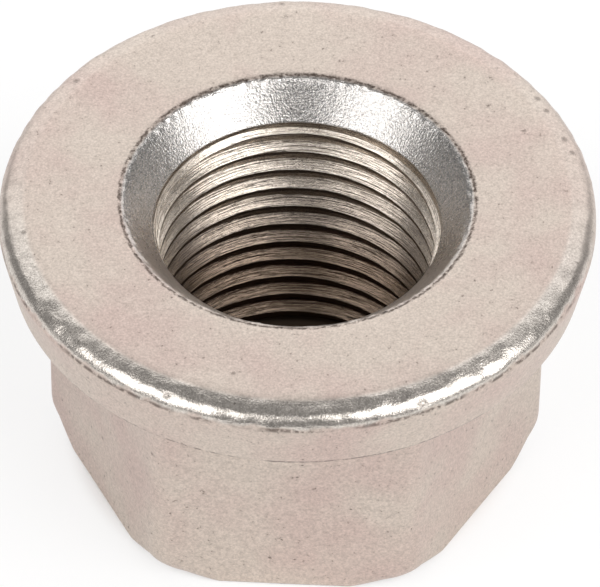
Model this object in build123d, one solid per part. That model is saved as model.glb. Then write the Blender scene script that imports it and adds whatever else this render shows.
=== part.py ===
from build123d import *

import math
import os

# Flange nut, one forging, standing on its wrench end with the flange up. Millimetres.
# The origin is the centre of the bottom face, and +Z runs along the thread to the flange.

INCH = 25.4

# Thread: 60 degree unified form. Its bore is drawn at the minor diameter, where the crests lie.
thread_major_diameter = 0.625 * INCH
threads_per_inch = 18
thread_flank_angle = 30.0
thread_crest_share = 0.25
thread_root_share = 0.125

# Mouths of the bore
countersink_diameter = 18.75
countersink_angle = 82.0
entry_chamfer_diameter = 16.4
entry_chamfer_angle = 90.0

# Flange
overall_height = 17.8
flange_diameter = 32.0
lip_width = 1.9
lip_height = 0.95
lip_edge_round = 0.6
rim_height = 3.0
rim_draft = 0.55
rim_lower_round = 0.6
underside_angle = 48.0
underside_fillet = 2.4

# Wrench hexagon
across_flats = 23.8
hexagon_corner_round = 1.6
end_face_diameter = 24.6
end_chamfer_angle = 38.0

# How far a cutter reaches past the surface that it cuts
cutter_margin = 0.1

# Largest share of a surface that its fillet may take up
fillet_share_of_run = 0.9

# Sizes that follow from those above
thread_pitch = INCH / threads_per_inch
thread_flank_width = thread_pitch * (1 - thread_crest_share - thread_root_share) / 2
thread_depth = thread_flank_width / math.tan(math.radians(thread_flank_angle))
bore_radius = thread_major_diameter / 2 - thread_depth
flange_radius = flange_diameter / 2
face_radius = flange_radius - lip_width
rim_top = overall_height - lip_height
rim_bottom = rim_top - rim_height
rim_bottom_radius = flange_radius - rim_draft

# The lip falls along a broad arc from the face, then turns into the rim along a tight one.
# Both arcs are tangent where they meet, which fixes the angle that each one turns through.
lip_run = lip_width - lip_edge_round
lip_drop = lip_height - lip_edge_round
lip_turn = 2 * math.atan2(lip_drop, lip_run)
lip_broad_radius = lip_edge_round + lip_run / math.sin(lip_turn)

# The underside's cone runs from the hexagon's corners to the rounded lower edge of the rim.
# Its fillet rolls along that run, so a narrow flange or a wide hexagon limits it.
rim_lean = math.atan2(rim_draft, rim_height)
corner_circle_radius = (across_flats / 2 - hexagon_corner_round) / math.cos(math.pi / 6) + hexagon_corner_round
cone_run = (rim_bottom_radius - corner_circle_radius) / math.sin(math.radians(underside_angle))
cone_run -= rim_lower_round * math.tan((math.radians(underside_angle) - rim_lean) / 2)
widest_underside_fillet = fillet_share_of_run * cone_run / math.tan(math.radians(underside_angle) / 2)


def cone_height(radial_run, included_angle):
    """Height over which a cone's radius changes by radial_run."""
    return radial_run / math.tan(math.radians(included_angle / 2))


def revolved(*outline):
    """Solid of revolution about the thread axis, from corners given as radius and height."""
    with BuildPart() as solid:
        with BuildSketch(Plane.XZ):
            Polygon(*outline, align=None)
        revolve(axis=Axis.Z)
    return solid.part


def flange():
    """Disc with a flat face, a rounded lip, a drafted rim and a conical underside."""
    underside_bottom = rim_bottom - cone_height(rim_bottom_radius - bore_radius, 2 * underside_angle)
    turn = math.degrees(lip_turn)
    with BuildPart() as disc:
        with BuildSketch(Plane.XZ) as section:
            with BuildLine():
                CenterArc(
                    (face_radius, overall_height - lip_broad_radius), lip_broad_radius, 90 - turn, turn
                )
                CenterArc((flange_radius - lip_edge_round, rim_top), lip_edge_round, 0, 90 - turn)
                Polyline(
                    (flange_radius, rim_top),
                    (rim_bottom_radius, rim_bottom),
                    (bore_radius, underside_bottom),
                    (0, underside_bottom),
                    (0, overall_height),
                    (face_radius, overall_height),
                )
            make_face()
            lower_corner = section.vertices().sort_by_distance((rim_bottom_radius, rim_bottom))[0]
            fillet(lower_corner, rim_lower_round)
        revolve(axis=Axis.Z)
    return disc.part


def hexagon():
    """Wrench hexagon with rounded corners, chamfered across them at its end."""
    end_radius = end_face_diameter / 2
    chamfer_run = across_flats / math.sqrt(3) - end_radius
    chamfer_top = chamfer_run * math.tan(math.radians(end_chamfer_angle))
    with BuildPart() as prism:
        with BuildSketch():
            RegularPolygon(across_flats / 2, 6, major_radius=False)
        extrude(amount=rim_bottom)
        fillet(prism.edges().filter_by(Axis.Z), hexagon_corner_round)
    envelope = revolved(
        (0, 0),
        (end_radius, 0),
        (end_radius + chamfer_run, chamfer_top),
        (end_radius + chamfer_run, rim_bottom),
        (0, rim_bottom),
    )
    return prism.part & envelope


def forging():
    """Flange and hexagon as one solid, with a fillet where the underside meets the hexagon."""
    disc = flange()
    prism = hexagon()
    solid = disc + prism
    radius = min(underside_fillet, widest_underside_fillet)
    return fillet(new_edges(disc, prism, combined=solid), radius)


def bore_cutter():
    """Bore at the thread's minor diameter, opened into a cone at each end."""
    mouth_radius = countersink_diameter / 2
    entry_radius = entry_chamfer_diameter / 2
    mouth_bottom = overall_height - cone_height(mouth_radius - bore_radius, countersink_angle)
    entry_top = cone_height(entry_radius - bore_radius, entry_chamfer_angle)
    return revolved(
        (0, -cutter_margin),
        (entry_radius, -cutter_margin),
        (entry_radius, 0),
        (bore_radius, entry_top),
        (bore_radius, mouth_bottom),
        (mouth_radius, overall_height),
        (mouth_radius, overall_height + cutter_margin),
        (0, overall_height + cutter_margin),
    )


nut = forging() - bore_cutter()

os.makedirs("parts", exist_ok=True)
export_step(nut, "parts/flange_nut.step")
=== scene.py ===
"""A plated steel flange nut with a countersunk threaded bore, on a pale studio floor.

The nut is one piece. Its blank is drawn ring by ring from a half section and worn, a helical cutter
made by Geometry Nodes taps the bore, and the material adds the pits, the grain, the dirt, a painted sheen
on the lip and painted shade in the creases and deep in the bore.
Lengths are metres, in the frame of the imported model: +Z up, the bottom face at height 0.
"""

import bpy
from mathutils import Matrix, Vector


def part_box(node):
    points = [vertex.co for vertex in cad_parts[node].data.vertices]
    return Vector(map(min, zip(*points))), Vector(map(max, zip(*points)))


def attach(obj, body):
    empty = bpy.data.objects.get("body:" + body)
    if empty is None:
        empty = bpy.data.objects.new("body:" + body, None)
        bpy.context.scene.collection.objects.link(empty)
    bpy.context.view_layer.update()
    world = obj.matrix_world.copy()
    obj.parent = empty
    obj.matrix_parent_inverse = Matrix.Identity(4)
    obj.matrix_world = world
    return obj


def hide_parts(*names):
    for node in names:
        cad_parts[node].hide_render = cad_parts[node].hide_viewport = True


bl_info = {
    "name": "Flange Nut",
    "version": (1, 0, 0),
    "blender": (4, 5, 0),
    "location": "View3D > Sidebar > Flange Nut",
    "description": "Makes a worn, plated flange nut and the studio that it stands in",
    "category": "Add Mesh",
}

import math

import bpy
import numpy as np
from bpy.props import FloatProperty, FloatVectorProperty, IntProperty, PointerProperty
from bpy.types import Operator, Panel, PropertyGroup
from mathutils import Quaternion, Vector

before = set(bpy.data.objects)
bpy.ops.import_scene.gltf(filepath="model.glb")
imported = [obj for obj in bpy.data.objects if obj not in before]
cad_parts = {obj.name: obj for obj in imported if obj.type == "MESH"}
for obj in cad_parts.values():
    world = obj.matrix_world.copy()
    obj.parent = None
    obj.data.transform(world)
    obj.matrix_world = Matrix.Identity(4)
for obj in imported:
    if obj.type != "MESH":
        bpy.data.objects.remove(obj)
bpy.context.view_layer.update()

MM = 0.001
INCH = 25.4 * MM
NODE = "flange_nut"
BODY = "root"
NODE_LOW, NODE_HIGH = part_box(NODE)

# A length too small to matter, which keeps divisions safe
TINY = 1e-12
# The nut's rings have this many points. A hexagon side takes a sixth of them.
COLUMNS = 480
HEXAGON_SIDES = 6
# How far columns shift towards the hexagon's corners, in radians
CORNER_CROWDING = 0.12
# Largest share of a run that the rounded corners at its two ends may use together
ROUND_SHARE = 0.99
# Faces that meet at more than this angle keep a sharp edge between them
SHARP_ANGLE = math.radians(32)

# Where the knocked front of the nut starts and where it is complete, forwards from the axis
FRONT_START = -3 * MM
FRONT_FULL = 8 * MM
# Share of the lip's wear that is left at the back, and of the countersink's that is left at the front
LIP_WEAR_AT_BACK = 0.15
CONE_WEAR_AT_FRONT = 0.4
# Share of grime and painted shade in the creases
CREASE_SHADE_AND_GRIME = 0.8
# Seeds of the ragged edge of the bare lip
RAGGED_SEEDS = (21, 22)
# How far a mask reaches past the surface that it picks
MASK_MARGIN = 0.05 * MM

# Relief that the material draws: the height of one step, and the steps of each pattern
RELIEF_STEP = 0.012 * MM
THREAD_LINE_STEPS = 5.0
WORN_LINE_STEPS = 0.8
LIP_GRAIN_STEPS = 1.2
CONE_GRAIN_STEPS = 2.6
MOTTLE_STEPS = 0.7
THREAD_MOTTLE_STEPS = 0.1
FINE_STEPS = 0.2
PIT_STEPS = -4.0

# Pits that show in the photo: degrees round the axis from +X, then millimetres from it, up and wide
PITS = (
    (17, 15.3, 17.6, 0.24),
    (21, 15.2, 17.6, 0.28),
    (26, 13.3, 17.8, 0.18),
    (30, 15.2, 17.6, 0.26),
    (34, 15.3, 17.6, 0.30),
    (96, 15.3, 17.6, 0.28),
    (146, 15.1, 17.7, 0.30),
    (193, 14.8, 17.7, 0.22),
    (211, 11.9, 4.9, 0.24),
    (238, 13.4, 9.6, 0.22),
    (247, 15.6, 17.5, 0.30),
    (258, 13.2, 17.8, 0.20),
    (297, 15.8, 17.3, 0.42),
)


def length(name, description, default):
    """A length that a user may set, in metres."""
    return FloatProperty(name=name, description=description, default=default, unit="LENGTH", precision=5)


def angle(name, description, degrees):
    """An angle that a user may set, with its default written in degrees."""
    return FloatProperty(name=name, description=description, default=math.radians(degrees), unit="ROTATION")


def share(name, description, default):
    """A number from 0 to 1 that a user may set."""
    return FloatProperty(name=name, description=description, default=default, min=0, max=1, subtype="FACTOR")


def brightness(name, description, default):
    """A brightness that a user may set, where 1 is white."""
    return FloatProperty(name=name, description=description, default=default, min=0)


def colour(name, description, default):
    """A colour that a user may set."""
    return FloatVectorProperty(
        name=name, description=description, default=default, size=3, min=0, max=1, subtype="COLOR"
    )


class NutSizes(PropertyGroup):
    """Sizes of the forged and machined blank."""

    flange_diameter: length("Flange Diameter", "Across the lip", NODE_HIGH.x - NODE_LOW.x)
    overall_height: length("Height", "From the bottom face to the flange face", NODE_HIGH.z)
    lip_width: length("Lip Width", "Radial width of the rounded lip", 1.9 * MM)
    lip_height: length("Lip Height", "Drop from the flange face to the rim", 1.15 * MM)
    lip_edge_round: length("Lip Edge Round", "Radius of the lip's outer edge", 1.0 * MM)
    bare_depth: length("Bare Depth", "Drop from the flange face to where the lip's plating starts", 0.8 * MM)
    rim_height: length("Rim Height", "From the flange face down to the rim's lower edge", 3.95 * MM)
    rim_draft: length("Rim Draft", "How far the rim leans in on its way down", 0.55 * MM)
    rim_top_round: length("Rim Top Round", "Radius where the rim starts to lean in", 0.5 * MM)
    rim_lower_round: length("Rim Lower Round", "Radius of the rim's lower edge", 0.6 * MM)
    underside_angle: angle("Underside Angle", "Flange underside, from the thread axis", 48)
    underside_fillet: length("Underside Fillet", "Radius between underside and hexagon", 2.4 * MM)
    across_flats: length("Across Flats", "Wrench size", 23.8 * MM)
    corner_round: length("Corner Round", "Radius of the hexagon's corners", 1.6 * MM)
    end_face_diameter: length("End Face", "Circle where the end chamfer starts", 24.6 * MM)
    end_chamfer_angle: angle("End Chamfer Angle", "Chamfer across the corners, from the face", 38)
    chamfer_round: length("Chamfer Round", "Radius where the chamfer meets the corners", 2.0 * MM)
    countersink_diameter: length("Countersink", "Mouth at the flange face", 18.75 * MM)
    countersink_angle: angle("Countersink Angle", "Included angle", 82)
    mouth_round: length("Mouth Round", "Radius of the countersink's worn upper edge", 0.8 * MM)
    neck_diameter: length("Neck", "Plain step between countersink and thread", 15.44 * MM)
    neck_height: length("Neck Height", "Height of the plain step", 0.3 * MM)
    entry_diameter: length("Entry Chamfer", "Mouth at the bottom face", 16.4 * MM)
    entry_angle: angle("Entry Chamfer Angle", "Included angle", 90)
    edge_break: length("Edge Break", "Radius of the edges that are not forged round", 0.12 * MM)


class ThreadSizes(PropertyGroup):
    """Sizes of the worn 60 degree thread in the bore."""

    crest_radius: length("Crest Radius", "At the worn crests", 7.43 * MM)
    pitch: length("Pitch", "Rise of the thread in one turn", INCH / 18)
    depth: length("Depth", "From crest to root", 0.58 * MM)
    runout_depth: length("Runout Depth", "From crest to root in the shallow top turn", 0.29 * MM)
    flank_angle: angle("Flank Angle", "Between a flank and the plane across the axis", 30)
    crest_share: share("Crest Share", "Width of the flat crest, in pitches", 0.16)
    crest_height: length("Crest Height", "Height of one crest's middle at +X", 14.854 * MM)
    reach: length("Cutter Reach", "How far the cutter starts inside the bore wall", 0.12 * MM)
    turns_above: IntProperty(name="Turns Above", description="Turns past the top groove", default=3, min=0)
    runout_start: share("Runout Start", "Height above the top groove, in pitches", 0.5)
    runout_length: share("Runout Length", "Height over which the cutter draws back, in pitches", 0.4)


class WearSizes(PropertyGroup):
    """How rough the forging and its wear are."""

    seed: IntProperty(name="Seed", description="Changes where the wear falls", default=5, min=0)
    forging_wave: length("Forging Wave", "Height of the slow waves on every face", 0.006 * MM)
    lip_dents: length("Lip Dents", "Height of the dents on the lip", 0.018 * MM)
    cone_dents: length("Countersink Dents", "Height of the dents in the countersink", 0.002 * MM)
    mouth_chips: length("Mouth Chips", "Depth of the chips along the countersink's edge", 0.02 * MM)
    chewed_depth: length("Chewed Depth", "Depth of the chewed edge under the lip", 0.03 * MM)
    ragged_height: length("Ragged Height", "How far the bare lip's lower edge wanders", 0.1 * MM)


class FinishColours(PropertyGroup):
    """Colours, gloss and dirt of the plating and of the bare, worn steel, with a painted sheen and painted
    shade.
    """

    plating: colour("Plating", "Dull plated faces", (0.735, 0.64, 0.565))
    blush: colour("Blush", "Warm patches in the plating", (0.70, 0.565, 0.51))
    steel: colour("Worn Steel", "Countersink", (0.66, 0.63, 0.60))
    hammered_steel: colour("Hammered Steel", "Dark grain in the countersink", (0.46, 0.45, 0.44))
    # The lip's steel and grain are lighter than the countersink's by a painted sheen; their warm tone is
    # their own.
    sheened_lip_steel: colour("Lip Steel", "Lip", (0.82, 0.76, 0.695))
    sheened_lip_grain: colour("Lip Grain", "Dark grain in the lip", (0.58, 0.535, 0.49))
    cut_steel: colour("Cut Steel", "Thread flanks and crests", (0.80, 0.72, 0.63))
    # Painted shade and oily steel: the thread's colour deep in the bore, darker where shade falls
    shaded_deep_steel: colour("Deep Steel", "Oily thread deep in the bore", (0.22, 0.165, 0.125))
    # Dark colour of pits, specks and grime, also used for the painted shade in the creases
    grime_and_painted_shade: colour("Grime", "Pits, creases and dark specks", (0.07, 0.05, 0.04))
    plating_roughness: share("Plating Roughness", "Dull plated faces", 0.46)
    steel_roughness: share("Steel Roughness", "Countersink", 0.2)
    lip_roughness: share("Lip Roughness", "Lip", 0.25)
    cut_roughness: share("Cut Roughness", "Thread flanks and crests", 0.26)
    clouds: share("Clouds", "Darkness of the soft mottling", 0.14)
    dust: share("Dust", "Darkness of the fine dust", 0.3)
    specks: share("Specks", "Darkness of the scattered specks", 0.4)
    pit_darkness: share("Pit Darkness", "Darkness of the pits", 0.55)
    mouth_line: share("Mouth Line", "Darkness of the line round the countersink", 0.7)


class StudioSettings(PropertyGroup):
    """Camera, floor and lamps."""

    camera_azimuth: angle("Azimuth", "Camera's place round the nut, from -Y towards +X", 2.2)
    camera_elevation: angle("Elevation", "Camera's height above the horizon", 46.32)
    camera_roll: angle("Roll", "Turn about the line of sight", 0.75)
    camera_distance: length("Distance", "From the camera to its target", 0.32)
    camera_lens: FloatProperty(name="Lens", description="Focal length in millimetres", default=356.3)
    sensor_width: FloatProperty(name="Sensor", description="Width of the sensor in millimetres", default=36)
    aim_right: length("Aim Right", "From the axis to the camera's target, towards +X", 0.26 * MM)
    aim_back: length("Aim Back", "From the axis to the camera's target, towards +Y", -1.663 * MM)
    aim_drop: length("Aim Drop", "From the flange face down to the camera's target", 5.6 * MM)
    floor_colour: colour("Floor", "Pale paper", (0.9, 0.9, 0.9))
    # Painted shadow: the paper under the bore is darkened where the nut shades it
    painted_shadow_colour: colour("Oil Mark", "Oily paper under the bore", (0.1, 0.07, 0.05))
    floor_glow: share("Floor Glow", "How far the floor is lifted to white outside the nut", 0.7)
    mirrored_glow: share("Mirrored Glow", "Share of that glow that the nut's metal mirrors", 0.5)
    world_level: brightness("World Level", "Grey of the dim surroundings", 0.29)
    right_level: brightness("Right Softbox", "Brightness of the right softbox", 3.6)
    left_level: brightness("Left Softbox", "Brightness of the left softbox", 2.6)
    back_level: brightness("Back Panel", "Brightness of the panel behind", 1.08)


def lip_turn(sizes):
    """Angle that the lip's broad arc turns through before its tight edge arc."""
    run = sizes.lip_width - sizes.lip_edge_round
    drop = sizes.lip_height - sizes.lip_edge_round
    return 2 * math.atan2(drop, run)


def neck_top_height(sizes):
    """Height where the countersink's cone ends at the plain neck."""
    drop = (sizes.countersink_diameter - sizes.neck_diameter) / 2 / math.tan(sizes.countersink_angle / 2)
    return sizes.overall_height - drop


def bare_edge_height(sizes):
    """Height of the chewed edge where the bare lip ends and the rim's plating starts."""
    return sizes.overall_height - sizes.bare_depth


def crowded_angles():
    """Column angles that crowd towards the hexagon's corners, and how far each was shifted."""
    even = np.arange(COLUMNS) * 2 * math.pi / COLUMNS
    shift = -CORNER_CROWDING * np.sin(HEXAGON_SIDES * even)
    return even, shift


def hexagon_radius(sizes, angles):
    """Distance from the axis to the rounded hexagon's side, with a corner at angle 0."""
    half_sector = math.pi / HEXAGON_SIDES
    sector = 2 * half_sector
    off_corner = np.abs((angles + half_sector) % sector - half_sector)
    apothem = sizes.across_flats / 2
    flat = apothem / np.cos(half_sector - off_corner)
    centre = (apothem - sizes.corner_round) / math.cos(half_sector)
    sine = centre * np.sin(off_corner)
    arc = centre * np.cos(off_corner) + np.sqrt(np.maximum(sizes.corner_round**2 - sine**2, 0))
    tangent = math.atan2(
        sizes.corner_round * math.sin(half_sector), centre + sizes.corner_round * math.cos(half_sector)
    )
    return np.where(off_corner < tangent, arc, flat)


class Corner:
    """A corner of the half section, and the straight run that follows it.

    It has a radius and a height for each column, the radius of its rounding and the steps of that
    arc, the rows of the run, and how far its columns crowd towards the hexagon's corners.
    """

    def __init__(self, radius, height, rounding=0.0, arc=0, run=1, crowd=0.0):
        self.place = np.array([np.broadcast_to(radius, COLUMNS), np.broadcast_to(height, COLUMNS)])
        self.rounding = rounding
        self.arc = arc
        self.run = run
        self.crowd = crowd


def section_corners(sizes, thread):
    """The closed half section, from the top of the bore down, round the outside and back."""
    even, shift = crowded_angles()
    side = hexagon_radius(sizes, even + shift)
    bore = thread.crest_radius
    top = sizes.overall_height
    flange = sizes.flange_diameter / 2
    mouth = sizes.countersink_diameter / 2
    entry = sizes.entry_diameter / 2
    neck = sizes.neck_diameter / 2
    neck_top = neck_top_height(sizes)
    neck_bottom = neck_top - sizes.neck_height
    bore_top = neck_bottom - (neck - bore)
    bore_bottom = (entry - bore) / math.tan(sizes.entry_angle / 2)

    edge = sizes.edge_break
    end_radius = np.minimum(side - edge, sizes.end_face_diameter / 2)
    end_height = np.maximum((side - sizes.end_face_diameter / 2) * math.tan(sizes.end_chamfer_angle), edge)

    lip_bottom = top - sizes.lip_height
    rim_bottom = top - sizes.rim_height
    rim_bottom_radius = flange - sizes.rim_draft
    side_top = rim_bottom - (rim_bottom_radius - side) / math.tan(sizes.underside_angle)

    broad_turn = lip_turn(sizes)
    tight_turn = math.pi / 2 - broad_turn
    broad_radius = sizes.lip_edge_round + (sizes.lip_width - sizes.lip_edge_round) / math.sin(broad_turn)
    broad_corner = flange - sizes.lip_width + broad_radius * math.tan(broad_turn / 2)
    tight_corner = lip_bottom + sizes.lip_edge_round * math.tan(tight_turn / 2)

    return [
        Corner(bore, bore_top),
        Corner(bore, bore_bottom, run=3),
        Corner(entry, 0, edge, 3, run=4),
        Corner(end_radius, 0, edge, 3, run=2, crowd=1),
        Corner(side, end_height, sizes.chamfer_round, 5, run=6, crowd=1),
        Corner(side, side_top, sizes.underside_fillet, 9, run=4, crowd=1),
        Corner(rim_bottom_radius, rim_bottom, sizes.rim_lower_round, 6, run=10),
        Corner(flange, lip_bottom, sizes.rim_top_round, 2, run=1),
        Corner(flange, tight_corner, sizes.lip_edge_round, 13, run=1),
        Corner(broad_corner, top, broad_radius, 10, run=14),
        Corner(mouth, top, sizes.mouth_round, 8, run=16),
        Corner(neck, neck_top, 0.7 * edge, 3, run=1),
        Corner(neck, neck_bottom, run=1),
    ]


def section_rings(corners):
    """Rings of the section as (radius, height, crowd) arrays, with every corner rounded."""
    places = np.array([corner.place for corner in corners])
    ahead = np.roll(places, -1, axis=0) - places
    lengths = np.linalg.norm(ahead, axis=1)
    ways = ahead / lengths[:, None]
    cosines = np.clip((np.roll(ways, 1, axis=0) * ways).sum(axis=1), -1, 1)
    turns = np.arccos(cosines)
    reaches = np.array([corner.rounding for corner in corners])[:, None] * np.tan(turns / 2)
    wanted = np.maximum(reaches + np.roll(reaches, -1, axis=0), TINY)
    granted = np.minimum(1, ROUND_SHARE * lengths / wanted)
    reaches = reaches * np.minimum(granted, np.roll(granted, 1, axis=0))
    arcs = []
    for i, corner in enumerate(corners):
        came, goes, turn, reach = ways[i - 1], ways[i], turns[i], reaches[i]
        radius = reach / np.tan(turn / 2)
        sideways = goes - cosines[i] * came
        sideways = sideways / np.linalg.norm(sideways, axis=0)
        start = corner.place - came * reach
        steps = [turn * k / corner.arc for k in range(corner.arc + 1)] if corner.arc else [turn * 0]
        arcs.append([start + radius * (np.sin(a) * came + (1 - np.cos(a)) * sideways) for a in steps])
    rings = []
    for i, corner in enumerate(corners):
        following = (i + 1) % len(corners)
        rings += [(*ring, corner.crowd) for ring in arcs[i]]
        start, end = arcs[i][-1], arcs[following][0]
        for k in range(1, corner.run):
            part = k / corner.run
            crowd = corner.crowd + (corners[following].crowd - corner.crowd) * part
            rings.append((*(start + (end - start) * part), crowd))
    return rings


def ring_points(rings):
    """Places of the blank's points, ring by ring."""
    even, shift = crowded_angles()
    points = []
    for radius, height, crowd in rings:
        turn = even + crowd * shift
        points.append(np.stack([radius * np.cos(turn), radius * np.sin(turn), height], axis=-1))
    return np.array(points)


def ring_faces(count):
    """Quads between each ring and the next, the last ring joined to the first."""
    index = np.arange(count * COLUMNS).reshape(count, COLUMNS)
    below = np.roll(index, -1, axis=0)
    quads = np.stack([index, np.roll(index, -1, axis=1), np.roll(below, -1, axis=1), below], axis=-1)
    return quads.reshape(-1, 4)


def random_waves(points, wavelength, seed, count=36):
    """Smooth random height of about -1 to 1 at each point, with features of about one wavelength."""
    chance = np.random.default_rng(seed)
    heading = chance.normal(size=(count, 3))
    heading /= np.linalg.norm(heading, axis=1, keepdims=True)
    fewest, most = 0.7, 1.4
    number = 2 * math.pi / wavelength * chance.uniform(fewest, most, count)
    phase = chance.uniform(0, 2 * math.pi, count)
    return np.sin(points @ (heading * number[:, None]).T + phase).sum(axis=1) / math.sqrt(count)


def ramp(value, start, end):
    """Smooth step from 0 at start to 1 at end."""
    part = np.clip((value - start) / (end - start), 0, 1)
    return part * part * (3 - 2 * part)


def axis_distance(points):
    """Distance of each point from the thread axis."""
    return np.hypot(points[:, 0], points[:, 1])


def band(value, place, core, reach):
    """1 within core of a place, fading to 0 at reach."""
    return 1 - ramp(np.abs(value - place), core, reach)


def front_share(points):
    """1 on the nut's front, where its edges were knocked bare, 0 at its back."""
    return ramp(-points[:, 1], FRONT_START, FRONT_FULL)


def lip_mask(sizes, wear, points):
    """1 on the bare lip, fading to 0 on the flange face and along a ragged edge below."""
    fade_start, fade_end = 0.4 * MM, 0.7 * MM
    softness = 0.08 * MM
    off_face = axis_distance(points) - (sizes.flange_diameter / 2 - sizes.lip_width)
    broad_seed, narrow_seed = RAGGED_SEEDS
    ragged = random_waves(points, 1.6 * MM, broad_seed) + 0.6 * random_waves(points, 0.5 * MM, narrow_seed)
    above = points[:, 2] + wear.ragged_height * ragged - bare_edge_height(sizes)
    return ramp(off_face, fade_start, fade_end) * ramp(above, -softness, softness)


def countersink_mask(sizes, points):
    """1 on the countersink's cone, 0 elsewhere."""
    fade_start, fade_end = -0.02 * MM, 0.12 * MM
    below_cone = 0.03 * MM
    past_mouth = axis_distance(points) - sizes.countersink_diameter / 2
    on_cone = points[:, 2] > neck_top_height(sizes) - below_cone
    return (1 - ramp(past_mouth, fade_start, fade_end)) * on_cone


def thread_mask(sizes, thread, points):
    """1 on the walls of the thread, 0 elsewhere."""
    past_root = 0.02 * MM
    inside = axis_distance(points) < thread.crest_radius + thread.depth + past_root
    between = (points[:, 2] > MASK_MARGIN) & (points[:, 2] < sizes.overall_height - MASK_MARGIN)
    return inside * between * (1 - countersink_mask(sizes, points))


def mouth_mask(sizes, points):
    """1 along the countersink's upper edge, 0 elsewhere."""
    mouth = sizes.countersink_diameter / 2
    return band(axis_distance(points), mouth, core=0.1 * MM, reach=0.45 * MM)


def crease_shade_mask(sizes, points):
    """1 along the rim's lower edge, where painted shade darkens the crease, 0 elsewhere."""
    depth = 0.5 * MM
    rim_bottom = sizes.overall_height - sizes.rim_height
    inner = sizes.flange_diameter / 2 - sizes.rim_draft - depth
    near = band(points[:, 2], rim_bottom, core=0.06 * MM, reach=0.2 * MM)
    return near * (axis_distance(points) > inner)


def chewed_mask(sizes, points):
    """1 along the chewed edge under the bare lip, 0 elsewhere."""
    depth = 0.5 * MM
    middle = bare_edge_height(sizes) - 0.15 * MM
    near = band(points[:, 2], middle, core=0.04 * MM, reach=0.2 * MM)
    return near * (axis_distance(points) > sizes.flange_diameter / 2 - depth)


def wear_blank(sizes, wear, points, normals):
    """Moves the blank's points by its forging waves, dents, chips and chewed edge."""
    flat = points.reshape(-1, 3)
    outward = normals.reshape(-1, 3)
    outside = axis_distance(flat) > sizes.neck_diameter / 2 + MASK_MARGIN

    def waves(wavelength, layer):
        return random_waves(flat, wavelength, wear.seed + layer)

    forged = waves(5 * MM, 0)
    dented = 0.35 * waves(0.6 * MM, 1) + waves(1.5 * MM, 2)
    scarred = waves(0.5 * MM, 5) + waves(1.2 * MM, 6)
    chipped = waves(0.5 * MM, 7) - 0.6
    chewed = waves(2.5 * MM, 3) + 0.6 * waves(0.8 * MM, 4) - 0.8
    lift = forged * wear.forging_wave
    lift += lip_mask(sizes, wear, flat) * dented * wear.lip_dents
    lift += countersink_mask(sizes, flat) * scarred * wear.cone_dents
    lift += mouth_mask(sizes, flat) * chipped * wear.mouth_chips
    lift *= outside
    lift += chewed_mask(sizes, flat) * front_share(flat) * chewed * wear.chewed_depth
    moved = flat + outward * lift[:, None]

    # The worn blank keeps within the flange's circle and between the two faces.
    reach = sizes.flange_diameter / 2
    moved[:, :2] *= np.minimum(1, reach / axis_distance(moved))[:, None]
    moved[:, 2] = np.clip(moved[:, 2], 0, sizes.overall_height)
    return moved


def mesh_from(name, points, faces):
    """Mesh made from points and faces, without a material."""
    mesh = bpy.data.meshes.new(name)
    mesh.from_pydata(points.reshape(-1, 3).tolist(), [], faces.tolist())
    mesh.update()
    return mesh


def blank_mesh(sizes, thread, wear):
    """The nut before it is tapped, with a plain bore."""
    rings = section_rings(section_corners(sizes, thread))
    points = ring_points(rings)
    faces = ring_faces(len(rings))
    mesh = mesh_from("nut_blank", points, faces)
    normals = np.empty(len(mesh.vertices) * 3)
    mesh.vertex_normals.foreach_get("vector", normals)
    moved = wear_blank(sizes, wear, points, normals)
    mesh.vertices.foreach_set("co", moved.ravel())
    mesh.update()
    return mesh


def tree_inputs(tree, kind, *names):
    """Adds named inputs of one kind to a node tree."""
    for name in names:
        tree.interface.new_socket(name=name, in_out="INPUT", socket_type=kind)


def node(tree, kind, inputs=(), **settings):
    """Adds a node, sets its properties, and fills its inputs with values or with other sockets."""
    made = tree.nodes.new(kind)
    for name, value in settings.items():
        setattr(made, name, value)
    for key, value in dict(inputs).items():
        if isinstance(value, bpy.types.NodeSocket):
            tree.links.new(value, made.inputs[key])
        else:
            made.inputs[key].default_value = value
    return made


def arithmetic(tree, operation, first, second=0.0, third=0.0):
    """Output of a Math node."""
    kind = "ShaderNodeMath"
    return node(tree, kind, {0: first, 1: second, 2: third}, operation=operation).outputs[0]


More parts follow.
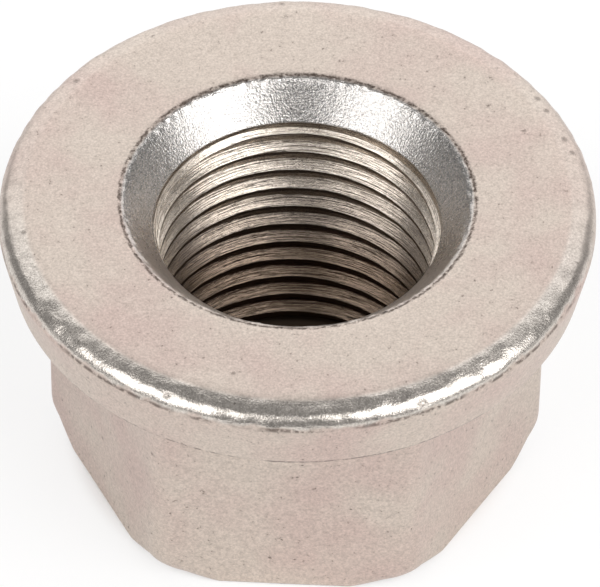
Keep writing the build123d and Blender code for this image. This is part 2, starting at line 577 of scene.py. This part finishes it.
def thread_tree():
    """Geometry Nodes that cut a right-handed helical groove into the mesh that they are given."""
    tree = bpy.data.node_groups.new("Tap Thread", "GeometryNodeTree")
    tree_inputs(tree, "NodeSocketGeometry", "Geometry")
    floats = "NodeSocketFloat"
    tree_inputs(tree, floats, "Pitch", "Crest Radius", "Depth", "Opening", "Flank Slope", "Reach")
    tree_inputs(tree, floats, "Start Height", "Turns", "Runout Start", "Runout Length", "Runout Shift")
    tree_inputs(tree, "NodeSocketInt", "Segments")
    tree_inputs(tree, "NodeSocketMaterial", "Material")
    tree.interface.new_socket(name="Geometry", in_out="OUTPUT", socket_type="NodeSocketGeometry")
    given = tree.nodes.new("NodeGroupInput").outputs

    # The cutter starts inside the bore, so its flanks are carried on inwards at their own slope.
    spread = arithmetic(tree, "MULTIPLY", given["Flank Slope"], 2.0)
    root_width = arithmetic(tree, "MULTIPLY", given["Depth"], spread)
    root_width = arithmetic(tree, "SUBTRACT", given["Opening"], root_width)
    inner_width = arithmetic(tree, "MULTIPLY_ADD", given["Reach"], spread, given["Opening"])
    height = arithmetic(tree, "ADD", given["Depth"], given["Reach"])
    offset = arithmetic(tree, "SUBTRACT", given["Depth"], given["Reach"])
    radius = arithmetic(tree, "MULTIPLY_ADD", offset, 0.5, given["Crest Radius"])
    rise = arithmetic(tree, "MULTIPLY", given["Pitch"], given["Turns"])

    groove = node(
        tree,
        "GeometryNodeCurvePrimitiveQuadrilateral",
        {"Height": height, "Bottom Width": inner_width, "Top Width": root_width, "Offset": 0.0},
        mode="TRAPEZOID",
    )
    upright = node(
        tree,
        "GeometryNodeTransform",
        {"Geometry": groove.outputs["Curve"], "Rotation": (0, 0, -math.pi / 2)},
    )
    helix = node(
        tree,
        "GeometryNodeCurveSpiral",
        {
            "Resolution": given["Segments"],
            "Rotations": given["Turns"],
            "Start Radius": radius,
            "End Radius": radius,
            "Height": rise,
            "Reverse": True,
        },
    )
    lift = node(tree, "ShaderNodeCombineXYZ", {"Z": given["Start Height"]})
    raised = node(
        tree,
        "GeometryNodeTransform",
        {"Geometry": helix.outputs["Curve"], "Translation": lift.outputs["Vector"]},
    )

    # Near the top the cutter draws back inwards, and down along its lower flank, which stays in place.
    place = node(tree, "GeometryNodeInputPosition").outputs["Position"]
    axes = node(tree, "ShaderNodeSeparateXYZ", {"Vector": place}).outputs
    outward = node(tree, "ShaderNodeCombineXYZ", {"X": axes["X"], "Y": axes["Y"]}).outputs["Vector"]
    outward = node(tree, "ShaderNodeVectorMath", {0: outward}, operation="NORMALIZE").outputs["Vector"]
    runout_end = arithmetic(tree, "ADD", given["Runout Start"], given["Runout Length"])
    part = node(
        tree,
        "ShaderNodeMapRange",
        {"Value": axes["Z"], "From Min": given["Runout Start"], "From Max": runout_end},
        interpolation_type="SMOOTHSTEP",
    ).outputs["Result"]
    shift = arithmetic(tree, "MULTIPLY", part, given["Runout Shift"])
    fall = arithmetic(tree, "MULTIPLY", shift, given["Flank Slope"])
    inward = arithmetic(tree, "MULTIPLY", shift, -1.0)
    drawn = node(tree, "ShaderNodeVectorMath", {0: outward, "Scale": inward}, operation="SCALE")
    fallen = node(tree, "ShaderNodeCombineXYZ", {"Z": arithmetic(tree, "MULTIPLY", fall, -1.0)})
    moved = node(
        tree,
        "ShaderNodeVectorMath",
        {0: drawn.outputs["Vector"], 1: fallen.outputs["Vector"]},
        operation="ADD",
    )
    runout = node(
        tree,
        "GeometryNodeSetPosition",
        {"Geometry": raised.outputs["Geometry"], "Offset": moved.outputs["Vector"]},
    )
    steady = node(tree, "GeometryNodeSetCurveNormal", {"Curve": runout.outputs["Geometry"]}, mode="Z_UP")
    cutter = node(
        tree,
        "GeometryNodeCurveToMesh",
        {
            "Curve": steady.outputs["Curve"],
            "Profile Curve": upright.outputs["Geometry"],
            "Fill Caps": True,
        },
    )
    tapped = node(
        tree,
        "GeometryNodeMeshBoolean",
        {"Mesh 1": given["Geometry"], "Mesh 2": cutter.outputs["Mesh"]},
        operation="DIFFERENCE",
        solver="MANIFOLD",
    )
    solid = node(tree, "GeometryNodeRealizeInstances", {"Geometry": tapped.outputs["Mesh"]})
    finished = node(
        tree,
        "GeometryNodeSetMaterial",
        {"Geometry": solid.outputs["Geometry"], "Material": given["Material"]},
    )
    node(tree, "NodeGroupOutput", {"Geometry": finished.outputs["Geometry"]})
    return tree


def set_inputs(modifier, values):
    """Sets a modifier's named inputs by their sockets' identifiers."""
    for item in modifier.node_group.interface.items_tree:
        if item.in_out == "INPUT" and item.name in values:
            modifier[item.identifier] = values[item.name]


def tapped_mesh(blank, thread, material):
    """The blank with the thread cut into its bore, as a plain mesh."""
    groove_height = thread.crest_height - thread.pitch / 2
    turns_below = math.ceil(groove_height / thread.pitch) + 1
    work = bpy.data.objects.new("nut_work", blank)
    bpy.context.scene.collection.objects.link(work)
    modifier = work.modifiers.new("Tap Thread", "NODES")
    modifier.node_group = thread_tree()
    set_inputs(
        modifier,
        {
            "Pitch": thread.pitch,
            "Crest Radius": thread.crest_radius,
            "Depth": thread.depth,
            "Opening": thread.pitch * (1 - thread.crest_share),
            "Flank Slope": math.tan(thread.flank_angle),
            "Reach": thread.reach,
            "Start Height": groove_height - turns_below * thread.pitch,
            "Turns": float(turns_below + thread.turns_above),
            "Runout Start": groove_height + thread.runout_start * thread.pitch,
            "Runout Length": thread.runout_length * thread.pitch,
            "Runout Shift": thread.depth - thread.runout_depth,
            "Segments": COLUMNS,
            "Material": material,
        },
    )
    evaluated = work.evaluated_get(bpy.context.evaluated_depsgraph_get())
    mesh = bpy.data.meshes.new_from_object(evaluated)
    work.modifiers.remove(modifier)
    bpy.data.objects.remove(work)
    return mesh


def mark_surfaces(mesh, sizes, thread, wear):
    """Writes where the steel is worn or cut, and its creases' grime and painted shade, as attributes for the
    material.
    """
    points = np.empty(len(mesh.vertices) * 3)
    mesh.vertices.foreach_get("co", points)
    points = points.reshape(-1, 3)
    front = front_share(points)
    worn_lip = lip_mask(sizes, wear, points) * (LIP_WEAR_AT_BACK + (1 - LIP_WEAR_AT_BACK) * front)
    worn_cone = countersink_mask(sizes, points) * (1 - (1 - CONE_WEAR_AT_FRONT) * front)
    # Painted shade with grime: dark lines along the rim's lower edge and along the chewed edge under the lip
    crease_shade_and_grime = np.maximum(chewed_mask(sizes, points) * front, crease_shade_mask(sizes, points))
    marks = {
        "worn": np.maximum(worn_lip, worn_cone),
        "cut": thread_mask(sizes, thread, points),
        "grime_and_painted_shade": CREASE_SHADE_AND_GRIME * crease_shade_and_grime,
    }
    for name, values in marks.items():
        attribute = mesh.attributes.new(name, "FLOAT", "POINT")
        attribute.data.foreach_set("value", values.astype(np.float32))


class Shading:
    """A material's node tree, with the places and the patterns that its parts share."""

    def __init__(self, material):
        self.tree = material.node_tree
        self.place = self.add("ShaderNodeTexCoord").outputs["Object"]
        self.axes = self.add("ShaderNodeSeparateXYZ", {"Vector": self.place}).outputs
        across = self.add("ShaderNodeCombineXYZ", {"X": self.axes["X"], "Y": self.axes["Y"]})
        across = across.outputs["Vector"]
        self.radius = self.add("ShaderNodeVectorMath", {0: across}, operation="LENGTH").outputs["Value"]
        self.mottle = self.grain(0.3 * MM, 5.0, 0.75)
        self.sparkle = self.grain(0.11 * MM, 2.0, 0.6)
        self.ragged = self.window(self.grain(0.4 * MM, 3.0, 0.7), 0.36, 0.52)
        # The countersink's finish gives way to the lip's between these two circles of the flange face.
        cone_finish_end, lip_finish_start = 9.9 * MM, 10.5 * MM
        self.coned = self.window(self.radius, lip_finish_start, cone_finish_end)

    def add(self, kind, inputs=(), **settings):
        """Adds a node to the tree."""
        return node(self.tree, kind, inputs, **settings)

    def math(self, operation, *values):
        """Output of a Math node."""
        return arithmetic(self.tree, operation, *values)

    def mark(self, name):
        """One of the attributes that mark_surfaces writes."""
        return self.add("ShaderNodeAttribute", attribute_name=name).outputs["Fac"]

    def grain(self, size, detail=3.0, roughness=0.5):
        """Noise of 0 to 1 with features of about one size."""
        settings = {"Vector": self.place, "Scale": 1 / size, "Detail": detail, "Roughness": roughness}
        return self.add("ShaderNodeTexNoise", settings).outputs["Fac"]

    def mix(self, factor, first, second):
        """Mix of two colours."""
        made = self.add("ShaderNodeMix", {"Factor": factor}, data_type="RGBA")
        for socket, value in ((made.inputs[6], first), (made.inputs[7], second)):
            if isinstance(value, bpy.types.NodeSocket):
                self.tree.links.new(value, socket)
            else:
                socket.default_value = (*value, 1)
        return made.outputs[2]

    def blend(self, factor, first, second):
        """Mix of two numbers."""
        return self.add("ShaderNodeMix", {0: factor, 2: first, 3: second}).outputs[0]

    def window(self, value, low, high, kind="LINEAR"):
        """0 where the value is at low, 1 where it is at high, and clamped beyond."""
        inputs = {"Value": value, "From Min": low, "From Max": high}
        return self.add("ShaderNodeMapRange", inputs, interpolation_type=kind).outputs["Result"]


def steel_colour(shading, finish, worn, cut):
    """Clean colour: plating, countersink, the lip with a painted sheen, and the thread, darkened with depth
    as painted shade.
    """
    patches = shading.window(shading.grain(5 * MM, 2.0), 0.42, 0.68)
    plating = shading.mix(patches, finish.plating, finish.blush)
    grains = shading.window(shading.sparkle, 0.35, 0.6)
    cone = shading.mix(grains, finish.hammered_steel, finish.steel)
    # Painted sheen: the lip takes a lighter copy of the worn steel.
    lip = shading.mix(grains, finish.sheened_lip_grain, finish.sheened_lip_steel)
    bare = shading.mix(worn, plating, shading.mix(shading.coned, lip, cone))
    # Painted shade: the thread's steel darkens from 15 mm down to 5 mm, as oily steel and as shade deep in
    # the bore.
    unshaded_above, shaded_below = 15 * MM, 5 * MM
    depth = shading.window(shading.axes["Z"], unshaded_above, shaded_below, "SMOOTHSTEP")
    return shading.mix(cut, bare, shading.mix(depth, finish.cut_steel, finish.shaded_deep_steel))


def scattered_dirt(shading, finish):
    """Clouds, specks and fine dust that lie on all faces."""
    clouds = shading.window(shading.mottle, 0.35, 0.75)
    specks = shading.window(shading.grain(0.3 * MM, 2.0, 0.6), 0.68, 0.76)
    dust = shading.window(shading.grain(0.13 * MM, 3.0, 0.7), 0.35, 0.7)
    dirt = shading.math("MULTIPLY", specks, finish.specks)
    dirt = shading.math("MULTIPLY_ADD", clouds, finish.clouds, dirt)
    return shading.math("MULTIPLY_ADD", dust, finish.dust, dirt)


def crease_shade_and_dirt(shading):
    """Broken dark marks of grime and painted shade in the creases that mark_surfaces picks."""
    stretches = shading.window(shading.grain(2 * MM, 2.0), 0.34, 0.5)
    broken = shading.math("MULTIPLY", shading.ragged, stretches)
    return shading.math("MULTIPLY", shading.mark("grime_and_painted_shade"), broken)


def mouth_line(shading, sizes):
    """1 on a ragged line where the countersink meets the flange face, 0 elsewhere."""
    wander = 0.5 * MM
    core, reach = 0.04 * MM, 0.14 * MM
    place = sizes.countersink_diameter / 2 + 0.15 * MM
    below_face = (0.6 * MM, 0.4 * MM)
    warp = shading.math("MULTIPLY_ADD", shading.mottle, wander, -wander / 2)
    away = shading.math("ADD", shading.math("SUBTRACT", shading.radius, place), warp)
    line = shading.window(shading.math("ABSOLUTE", away), reach, core)
    line = shading.math("MULTIPLY", line, shading.ragged)
    low, high = [sizes.overall_height - drop for drop in below_face]
    return shading.math("MULTIPLY", line, shading.window(shading.axes["Z"], low, high))


def pit_marks(shading):
    """1 at the bottom of each pit, with a ragged edge, 0 elsewhere."""
    pits = 0.0
    for degrees, reach, rise, size in PITS:
        turn = math.radians(degrees)
        spot = (reach * math.cos(turn) * MM, reach * math.sin(turn) * MM, rise * MM)
        away = shading.add("ShaderNodeVectorMath", {0: shading.place, 1: spot}, operation="DISTANCE")
        ragged = shading.math("MULTIPLY_ADD", shading.mottle, 0.7 * size * MM, away.outputs["Value"])
        pits = shading.math("MAXIMUM", pits, shading.window(ragged, 1.2 * size * MM, 0.6 * size * MM))
    return pits


def lathe_lines(shading):
    """Fine lines round the axis: noise that changes fast outwards and upwards, slowly otherwise."""
    line_width, line_length = 0.12 * MM, 3 * MM
    stretched = {0: shading.place, "Scale": 1 / line_length}
    slow = shading.add("ShaderNodeVectorMath", stretched, operation="SCALE")
    outwards = shading.math("ADD", shading.radius, shading.axes["Z"])
    lines = shading.add("ShaderNodeCombineXYZ", {"Z": shading.math("MULTIPLY", outwards, 1 / line_width)})
    both = {0: slow.outputs["Vector"], 1: lines.outputs["Vector"]}
    place = shading.add("ShaderNodeVectorMath", both, operation="ADD")
    settings = {"Vector": place.outputs["Vector"], "Scale": 1.0, "Detail": 3.0}
    return shading.add("ShaderNodeTexNoise", settings).outputs["Fac"]


def gloss(shading, finish, worn, cut):
    """Roughness of each finish, uneven from place to place and less so in the thread."""
    unevenness, unevenness_in_thread = 0.3, 0.05
    rough = shading.blend(shading.coned, finish.lip_roughness, finish.steel_roughness)
    rough = shading.blend(worn, finish.plating_roughness, rough)
    rough = shading.blend(cut, rough, finish.cut_roughness)
    uneven = shading.math("MULTIPLY_ADD", cut, unevenness_in_thread - unevenness, unevenness)
    return shading.math("MULTIPLY_ADD", shading.math("SUBTRACT", shading.mottle, 0.5), uneven, rough)


def relief(shading, worn, cut, pits):
    """Normal that is tilted by the grain, the lathe lines and the pits."""
    lines = shading.math("MULTIPLY", worn, WORN_LINE_STEPS)
    lines = shading.math("MULTIPLY_ADD", cut, THREAD_LINE_STEPS, lines)
    more_in_cone = CONE_GRAIN_STEPS - LIP_GRAIN_STEPS
    grains = shading.math("MULTIPLY_ADD", shading.coned, more_in_cone, LIP_GRAIN_STEPS)
    mottling = shading.math("MULTIPLY_ADD", cut, THREAD_MOTTLE_STEPS - MOTTLE_STEPS, MOTTLE_STEPS)
    height = shading.math("MULTIPLY", shading.sparkle, shading.math("MULTIPLY", worn, grains))
    height = shading.math("MULTIPLY_ADD", lathe_lines(shading), lines, height)
    height = shading.math("MULTIPLY_ADD", shading.mottle, mottling, height)
    height = shading.math("MULTIPLY_ADD", shading.grain(0.08 * MM, 2.0), FINE_STEPS, height)
    height = shading.math("MULTIPLY_ADD", pits, PIT_STEPS, height)
    bump = shading.add("ShaderNodeBump", {"Strength": 1.0, "Distance": RELIEF_STEP, "Height": height})
    return bump.outputs["Normal"]


def plated_steel(finish, sizes):
    """Dull plating, worn to bright steel on the lip and the countersink and cut in the bore."""
    material = bpy.data.materials.new("plated_steel_nut")
    material.use_nodes = True
    shading = Shading(material)
    worn, cut = shading.mark("worn"), shading.mark("cut")
    pits = pit_marks(shading)
    # The crease marks are painted shade with grime: dark lines in the nut's creases
    dirt = shading.math("MAXIMUM", scattered_dirt(shading, finish), crease_shade_and_dirt(shading))
    dirt = shading.math("MULTIPLY_ADD", mouth_line(shading, sizes), finish.mouth_line, dirt)
    dirt = shading.math("MAXIMUM", dirt, shading.math("MULTIPLY", pits, finish.pit_darkness))
    colours = shading.mix(dirt, steel_colour(shading, finish, worn, cut), finish.grime_and_painted_shade)

    shader = shading.tree.nodes["Principled BSDF"]
    shader.inputs["Metallic"].default_value = 1.0
    shading.tree.links.new(colours, shader.inputs["Base Color"])
    shading.tree.links.new(gloss(shading, finish, worn, cut), shader.inputs["Roughness"])
    shading.tree.links.new(relief(shading, worn, cut, pits), shader.inputs["Normal"])
    return material


class FLANGENUT_OT_make_nut(Operator):
    """Makes the plated flange nut, and lets it stand for the plain solid."""

    bl_idname = "flangenut.make_nut"
    bl_label = "Make Nut"

    def execute(self, context):
        scene = context.scene
        sizes, thread = scene.nut_sizes, scene.thread_sizes
        material = plated_steel(scene.finish_colours, sizes)
        blank = blank_mesh(sizes, thread, scene.wear_sizes)
        mesh = tapped_mesh(blank, thread, material)
        if not mesh.polygons:
            raise RuntimeError("the thread cutter left no nut")
        mesh.name = "plated_nut"
        mesh.shade_smooth()
        mesh.set_sharp_from_angle(angle=SHARP_ANGLE)
        mark_surfaces(mesh, sizes, thread, scene.wear_sizes)
        nut = bpy.data.objects.new("plated_nut", mesh)
        scene.collection.objects.link(nut)
        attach(nut, BODY)
        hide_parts(NODE)
        return {"FINISHED"}


def direction(azimuth, elevation):
    """Unit vector towards a place round the nut: azimuth from -Y towards +X, elevation upwards."""
    level = math.cos(elevation)
    return Vector((math.sin(azimuth) * level, -math.cos(azimuth) * level, math.sin(elevation)))


def add_softbox(name, azimuth, elevation, distance, width, height, level):
    """Rectangular lamp that faces the nut and shows in its metal at the given brightness.

    Azimuth and elevation are in degrees, and the brightness is that of a glowing sheet.
    """
    lamp = bpy.data.lights.new(name, "AREA")
    lamp.shape = "RECTANGLE"
    lamp.size, lamp.size_y = width, height
    lamp.energy = level * math.pi * width * height
    made = bpy.data.objects.new(name, lamp)
    towards = direction(math.radians(azimuth), math.radians(elevation))
    made.location = towards * distance
    made.rotation_mode = "QUATERNION"
    made.rotation_quaternion = towards.to_track_quat("Z", "Y")
    bpy.context.scene.collection.objects.link(made)
    return made


def floor_paper(settings):
    """Pale paper that is lifted to white away from the nut and darkened under its bore as a painted shadow.

    The lift shows to the camera and, in part, in mirrored rays. Other rays meet plain paper, and the
    lift fades near the nut, so the floor keeps the nut's shadow.
    """
    shadow_edge, shadow_end = 8.5 * MM, 10 * MM
    lift_start, lift_full = 11.4 * MM, 13 * MM
    material = bpy.data.materials.new("floor_paper")
    material.use_nodes = True
    tree = material.node_tree
    paper = tree.nodes["Principled BSDF"]
    paper.inputs["Roughness"].default_value = 0.9
    paper.inputs["Specular IOR Level"].default_value = 0.2
    place = node(tree, "ShaderNodeTexCoord").outputs["Object"]
    radius = node(tree, "ShaderNodeVectorMath", {0: place}, operation="LENGTH").outputs["Value"]

    # Painted shadow: the paper darkens under the bore, inside the nut's footprint
    outside_shadow = node(tree, "ShaderNodeMapRange", {"Value": radius, "From Min": shadow_edge, "From Max": shadow_end})
    tint = node(tree, "ShaderNodeMix", {"Factor": outside_shadow.outputs["Result"]}, data_type="RGBA")
    tint.inputs[6].default_value = (*settings.painted_shadow_colour, 1)
    tint.inputs[7].default_value = (*settings.floor_colour, 1)
    tree.links.new(tint.outputs[2], paper.inputs["Base Color"])

    path = node(tree, "ShaderNodeLightPath").outputs
    seen = arithmetic(tree, "MAXIMUM", path["Is Camera Ray"], path["Is Glossy Ray"])
    seen = arithmetic(tree, "MAXIMUM", seen, path["Is Transmission Ray"])
    dimmed = arithmetic(tree, "MULTIPLY", path["Is Glossy Ray"], settings.mirrored_glow - 1)
    seen = arithmetic(tree, "ADD", seen, dimmed)
    clear = node(
        tree,
        "ShaderNodeMapRange",
        {"Value": radius, "From Min": lift_start, "From Max": lift_full, "To Max": settings.floor_glow},
        interpolation_type="SMOOTHSTEP",
    ).outputs["Result"]
    lifted = arithmetic(tree, "MULTIPLY", seen, clear)
    glow = node(tree, "ShaderNodeEmission", {"Color": (1, 1, 1, 1), "Strength": 1.0})
    both = node(tree, "ShaderNodeMixShader", {0: lifted, 1: paper.outputs[0], 2: glow.outputs[0]})
    tree.links.new(both.outputs[0], tree.nodes["Material Output"].inputs["Surface"])
    return material


def add_floor(settings):
    """Paper floor under the nut."""
    half = 1.5
    corners = np.array([(-half, -half, 0), (half, -half, 0), (half, half, 0), (-half, half, 0)])
    mesh = mesh_from("floor", corners, np.array([[0, 1, 2, 3]]))
    mesh.materials.append(floor_paper(settings))
    floor = bpy.data.objects.new("floor", mesh)
    bpy.context.scene.collection.objects.link(floor)
    return floor


def add_camera(settings, height):
    """Camera at the photographed view, looking a little below the flange face."""
    data = bpy.data.cameras.new("camera")
    data.lens = settings.camera_lens
    data.sensor_width = settings.sensor_width
    camera = bpy.data.objects.new("camera", data)
    towards = direction(settings.camera_azimuth, settings.camera_elevation)
    target = Vector((settings.aim_right, settings.aim_back, height - settings.aim_drop))
    camera.location = target + towards * settings.camera_distance
    camera.rotation_mode = "QUATERNION"
    roll = Quaternion((0, 0, 1), settings.camera_roll)
    camera.rotation_quaternion = (-towards).to_track_quat("-Z", "Y") @ roll
    bpy.context.scene.collection.objects.link(camera)
    bpy.context.scene.camera = camera
    return camera


def set_world(level):
    """Dim grey surroundings."""
    world = bpy.data.worlds.new("surroundings")
    world.use_nodes = True
    background = world.node_tree.nodes["Background"]
    background.inputs["Color"].default_value = (level, level, level, 1)
    bpy.context.scene.world = world


class FLANGENUT_OT_set_stage(Operator):
    """Adds the pale floor, the soft lamps and the camera."""

    bl_idname = "flangenut.set_stage"
    bl_label = "Set Stage"

    def execute(self, context):
        scene = context.scene
        settings = scene.studio_settings
        add_floor(settings)
        right = dict(azimuth=59, elevation=43, distance=0.55, width=0.44, height=0.5)
        left = dict(azimuth=-51, elevation=42, distance=0.55, width=0.44, height=0.46)
        back = dict(azimuth=180, elevation=33, distance=0.6, width=1.0, height=0.68)
        add_softbox("softbox_right", level=settings.right_level, **right)
        add_softbox("softbox_left", level=settings.left_level, **left)
        add_softbox("panel_back", level=settings.back_level, **back)
        set_world(settings.world_level)
        add_camera(settings, scene.nut_sizes.overall_height)
        scene.view_settings.view_transform = "Standard"
        return {"FINISHED"}


class FLANGENUT_PT_sidebar(Panel):
    """Lists the nut's operators and settings in the 3D view's sidebar."""

    bl_label = "Flange Nut"
    bl_space_type = "VIEW_3D"
    bl_region_type = "UI"
    bl_category = "Flange Nut"

    def draw(self, context):
        layout = self.layout
        layout.operator(FLANGENUT_OT_make_nut.bl_idname)
        layout.operator(FLANGENUT_OT_set_stage.bl_idname)
        for name, group in SETTINGS.items():
            box = layout.box()
            box.label(text=group.__name__)
            for key in group.__annotations__:
                box.prop(getattr(context.scene, name), key)


SETTINGS = {
    "nut_sizes": NutSizes,
    "thread_sizes": ThreadSizes,
    "wear_sizes": WearSizes,
    "finish_colours": FinishColours,
    "studio_settings": StudioSettings,
}
OPERATORS = (FLANGENUT_OT_make_nut, FLANGENUT_OT_set_stage)


def register():
    for name, group in SETTINGS.items():
        bpy.utils.register_class(group)
        setattr(bpy.types.Scene, name, PointerProperty(type=group))
    for operator in OPERATORS:
        bpy.utils.register_class(operator)
    bpy.utils.register_class(FLANGENUT_PT_sidebar)


def unregister():
    bpy.utils.unregister_class(FLANGENUT_PT_sidebar)
    for operator in reversed(OPERATORS):
        bpy.utils.unregister_class(operator)
    for name, group in reversed(SETTINGS.items()):
        delattr(bpy.types.Scene, name)
        bpy.utils.unregister_class(group)


def main():
    register()
    bpy.ops.flangenut.make_nut()
    bpy.ops.flangenut.set_stage()


if __name__ == "__main__":
    main()
